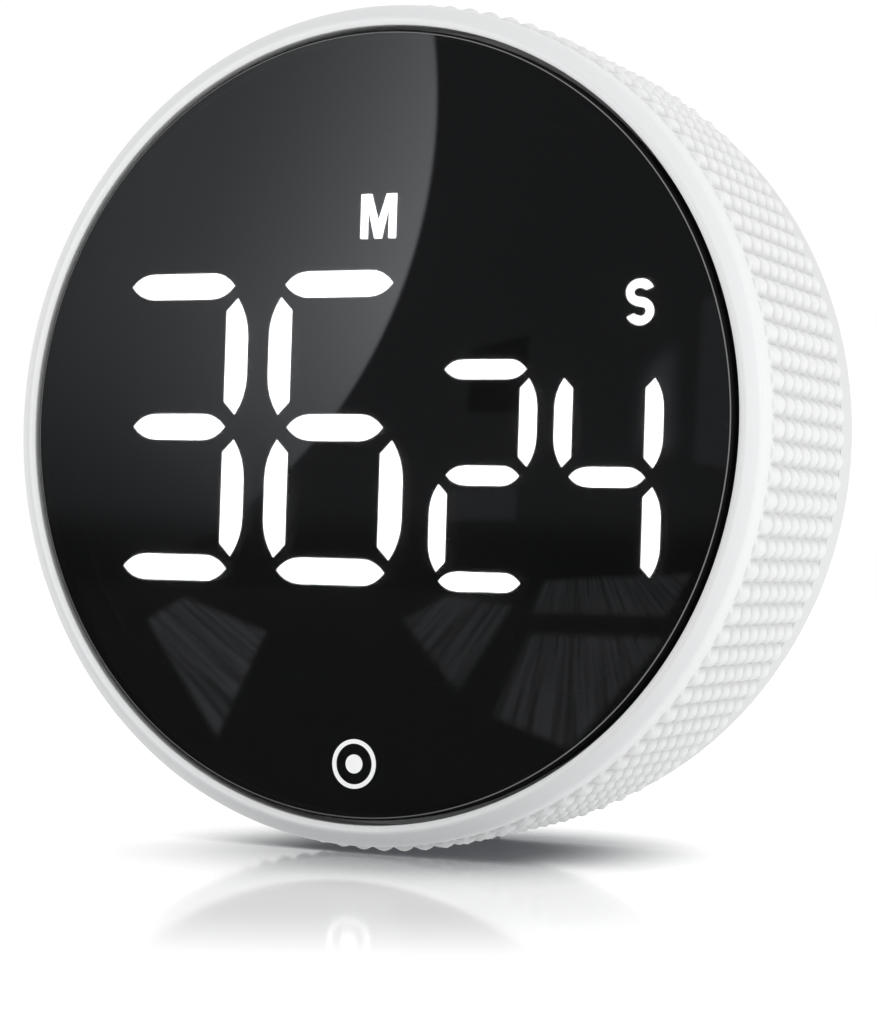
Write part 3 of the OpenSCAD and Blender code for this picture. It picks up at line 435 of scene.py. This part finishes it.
def knurlBand(s):
    step = (s["front"] - s["back"] - s["leadLength"]) / (s["columns"] - 1)
    grooves = [s["front"]] + [s["front"] - s["leadLength"] - step * i for i in range(s["columns"])]
    crests = [(a + b) / 2 for a, b in zip(grooves, grooves[1:])]
    slope = s["taper"] / (crests[0] - crests[-1])
    pitch = 2 * pi / s["rows"]
    fine = s["fine"]
    bm = bmesh.new()
    crest = bm.verts.layers.float.new("crest")
    bmesh.ops.create_grid(bm, x_segments=fine, y_segments=fine * s["columns"], size=1.0)
    for vert in bm.verts:
        along = (1 - vert.co.y) / 2 * s["columns"]
        column = min(int(along + 0.0001), s["columns"] - 1)
        inBump = along - column
        z = grooves[column] + (grooves[column + 1] - grooves[column]) * inBump
        bead = 2 * inBump - 1
        power = s["leadRound"] if column == 0 and bead < 0 else s["roundAlong"]
        lift = swell(vert.co.x, s["roundAcross"]) * swell(bead, power)
        radius = s["leadRadius"] - (crests[0] - z) * slope - s["depth"] * (1 - lift)
        if column == 0:
            start = min(1.0, inBump / s["leadIn"])    # the first bump starts flush with the bezel
            radius, lift = start * radius + (1 - start) * s["flush"], start * lift + 1 - start
        radius = min(radius, s["leadRadius"])
        angle = -pi / 2 + pitch * (vert.co.x / 2 + 0.5)
        vert[crest] = lift
        vert.co = (radius * cos(angle), radius * sin(angle), z)
    bmesh.ops.spin(bm, geom=bm.verts[:] + bm.edges[:] + bm.faces[:], cent=(0, 0, 0), axis=(0, 0, 1),
                   dvec=(0, 0, 0), angle=2 * pi * (s["rows"] - 1) / s["rows"], steps=s["rows"] - 1,
                   use_duplicate=True)
    bmesh.ops.remove_doubles(bm, verts=bm.verts, dist=0.0005)
    rims = [edge for edge in bm.edges if len(edge.link_faces) == 1]
    walls = bmesh.ops.extrude_edge_only(bm, edges=rims)["geom"]
    for vert in [v for v in walls if isinstance(v, bmesh.types.BMVert)]:
        flat = Vector((vert.co.x, vert.co.y, 0)).normalized() * s["bore"]
        vert.co = (flat.x, flat.y, vert.co.z)
    loops = [e for e in walls if isinstance(e, bmesh.types.BMEdge) and len(e.link_faces) == 1]
    bmesh.ops.bridge_loops(bm, edges=loops)
    return bm


grip = placePiece(knurlBand(gripSpec), "gripBand", [gripWhite], "knob", ["grip_band"], 60.0)
print("grip knurled:", len(grip.data.polygons), "faces")

# smoked panel with a small chamfer, a thin grey line round it painted as the chamfer's highlight, and black ink
# outside that
panelSpec = {"outline": [(0.0, 25.4), (36.0, 25.4), (36.0, 26.62), (35.8, 26.84), (35.7, 26.9), (35.45, 26.9),
                         (0.0, 26.9)],
             "rounds": {2: (0.04, 2)}, "steps": 300, "line": (35.7, 35.8)}


def panelDisc(s):
    bm = spunProfile(s["outline"], s["rounds"], s["steps"], False)
    for face in bm.faces:
        out = face.calc_center_median().xy.length
        face.material_index = 0 if out < s["line"][0] else 1 if out < s["line"][1] else 2
    return bm


panel = placePiece(panelDisc(panelSpec), "smokedPanel", [smoked, chamferHighlight, edgeInk], "panel", ["front_panel"])
print("panel polished:", len(panel.data.polygons), "faces")

# digits: the segments of each that are lit, by the usual letters
readout = {"digit_minute_tens": "abcdg", "digit_minute_units": "acdefg", "digit_second_tens": "abdeg",
           "digit_second_units": "bcfg"}


segmentSpots = {"flat": 0.35, "end": 0.4}    # shares of the digit's half width and half height


def segmentLetter(u, v):
    if abs(u) < segmentSpots["flat"]:
        return "a" if v > segmentSpots["end"] else "d" if v < -segmentSpots["end"] else "g"
    return ("b" if v > 0 else "c") if u > 0 else ("f" if v > 0 else "e")


def lightDigit(node, shown):
    low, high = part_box(node)
    middle, half = (low + high) / 2, (high - low) / 2
    bm = bmesh.new()
    bm.from_mesh(nodes[node].data)
    bmesh.ops.remove_doubles(bm, verts=bm.verts, dist=0.000002)
    waiting = set(bm.faces)
    while waiting:
        island, edge = set(), [waiting.pop()]
        while edge:
            face = edge.pop()
            island.add(face)
            for vert in face.verts:
                for other in vert.link_faces:
                    if other in waiting:
                        waiting.discard(other)
                        edge.append(other)
        centre = sum((f.calc_center_median() for f in island), Vector()) / len(island) - middle
        letter = segmentLetter(centre.x / half.x, centre.z / half.z)
        for face in island:
            face.material_index = 0 if letter in shown else 1
    keepPiece(bm, node.replace("digit_", "lit_"), [lit, unlit], "housing", [node])


for node, shown in readout.items():
    lightDigit(node, shown)
print("digits lit")


# small raised marks of the back, in millimetres: the door's finger ridges and arrow, the volume's rising bars
doorMarks = {"ridges": [-15.4, -14.0, -12.6, -11.2], "ridge": (14.0, 0.7),
             "arrow": [(-2.2, -6.4), (2.2, -6.4), (0.0, -9.1)], "low": 0.74, "high": 1.02, "corner": 0.3,
             "rounding": 0.1}
volumeMarks = {"bars": [0.6, 1.0, 1.4, 1.8], "step": 1.7, "width": 0.8, "foot": -27.6, "low": 0.86,
               "high": 1.02, "corner": 0.12, "rounding": 0.05}


def oblong(x, y, width, height):
    return [(x + width * right / 2, y + height * up / 2) for right, up in ((-1, -1), (1, -1), (1, 1), (-1, 1))]


def raisedMarks(outlines, s):
    bm = bmesh.new()
    for outline in outlines:
        flat = bm.faces.new([bm.verts.new((x, y, s["high"])) for x, y in outline])
        lifted = bmesh.ops.extrude_face_region(bm, geom=[flat])["geom"]
        tops = [v for v in lifted if isinstance(v, bmesh.types.BMVert)]
        bmesh.ops.translate(bm, vec=(0, 0, s["low"] - s["high"]), verts=tops)
    upright = [edge for edge in bm.edges if abs(edge.verts[0].co.z - edge.verts[1].co.z) > 0.01]
    bmesh.ops.bevel(bm, geom=upright, offset=s["corner"], offset_type="OFFSET", segments=5, profile=0.5,
                    affect="EDGES", material=-1)
    crown = [edge for edge in bm.edges if all(abs(vert.co.z - s["low"]) < 0.001 for vert in edge.verts)]
    bmesh.ops.bevel(bm, geom=crown, offset=s["rounding"], offset_type="OFFSET", segments=2, profile=0.5,
                    affect="EDGES", material=-1)
    return bm


ridges = [oblong(0.0, y, *doorMarks["ridge"]) for y in doorMarks["ridges"]]
placePiece(raisedMarks(ridges + [doorMarks["arrow"]], doorMarks), "doorMarks", [rearWhite], "door", [],
           40.0)
slotLow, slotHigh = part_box("volume_switch_body")
slotMiddle = (slotLow.x + slotHigh.x) * 500    # metres to millimetres, halved
middleBar = (len(volumeMarks["bars"]) - 1) / 2
bars = [oblong(slotMiddle + volumeMarks["step"] * (middleBar - place), volumeMarks["foot"] + height / 2,
               volumeMarks["width"], height) for place, height in enumerate(volumeMarks["bars"])]
placePiece(raisedMarks(bars, volumeMarks), "volumeMarks", [printGrey], "housing", [], 40.0)
print("back marked")


def dress(finish, *names):  # a CAD node that keeps its shape takes a finish
    for name in names:
        if name in nodes:
            nodes[name].data.materials.clear()
            nodes[name].data.materials.append(finish)


dress(lit, "minute_letter", "second_letter")
dress(litDiffuser("litMark", 0.24, 0.5), "press_mark")
dress(rearWhite, "rear_housing", "battery_door")
dress(mouldedPart("mattBlack", (0.018, 0.018, 0.02), 0.55), "chassis", "panel_frame")
dress(mouldedPart("maskFilm", (0.008, 0.008, 0.009), 0.7), "display_mask")
dress(mouldedPart("reflectorWhite", (0.8, 0.8, 0.78), 0.5, 0.04), "display_reflector")
dress(mouldedPart("phosphor", (0.86, 0.74, 0.32), 0.35), "led_chips")
dress(mouldedPart("solderMask", (0.02, 0.16, 0.06), 0.3, 0.3, 900.0), "main_board", "switch_board")
dress(mouldedPart("componentCase", (0.03, 0.03, 0.03), 0.45), "controller_chip", "encoder_body", "tact_switch",
      "buzzer")
dress(platedSteel("drawnCan", (0.8, 0.81, 0.83), (1, 1, 12)), "capacitor")
dress(mouldedPart("acetal", (0.78, 0.77, 0.73), 0.42, 0.05), "ring_gear", "encoder_pinion")
dress(mouldedPart("plungerRed", (0.5, 0.05, 0.04), 0.4, 0.1), "tact_plunger")
dress(mouldedPart("sliderGrey", (0.1, 0.1, 0.11), 0.5), "volume_slider")
dress(platedSteel("platedSteel", (0.66, 0.67, 0.69), (1, 8, 1)), "hinge_pin", "housing_screws", "board_screws",
      "volume_switch_body", "battery_spring_1", "battery_spring_2", "battery_spring_3", "battery_plate_1",
      "battery_plate_2", "battery_plate_3")
dress(cellSleeve("cellSleeve", cellSpec), "aaa_cell_1", "aaa_cell_2", "aaa_cell_3")
dress(platedSteel("nickel", (0.7, 0.69, 0.66), (1, 1, 1)), "magnet_top", "magnet_left", "magnet_right")
dress(mouldedPart("padRubber", (0.06, 0.06, 0.065), 0.75, 0.3, 3000.0), "magnet_pad_top", "magnet_pad_left",
      "magnet_pad_right", "rest_pad")
dress(mouldedPart("footRubber", (0.16, 0.165, 0.17), 0.75, 0.2, 3000.0), "stand_foot")
print("pieces dressed")
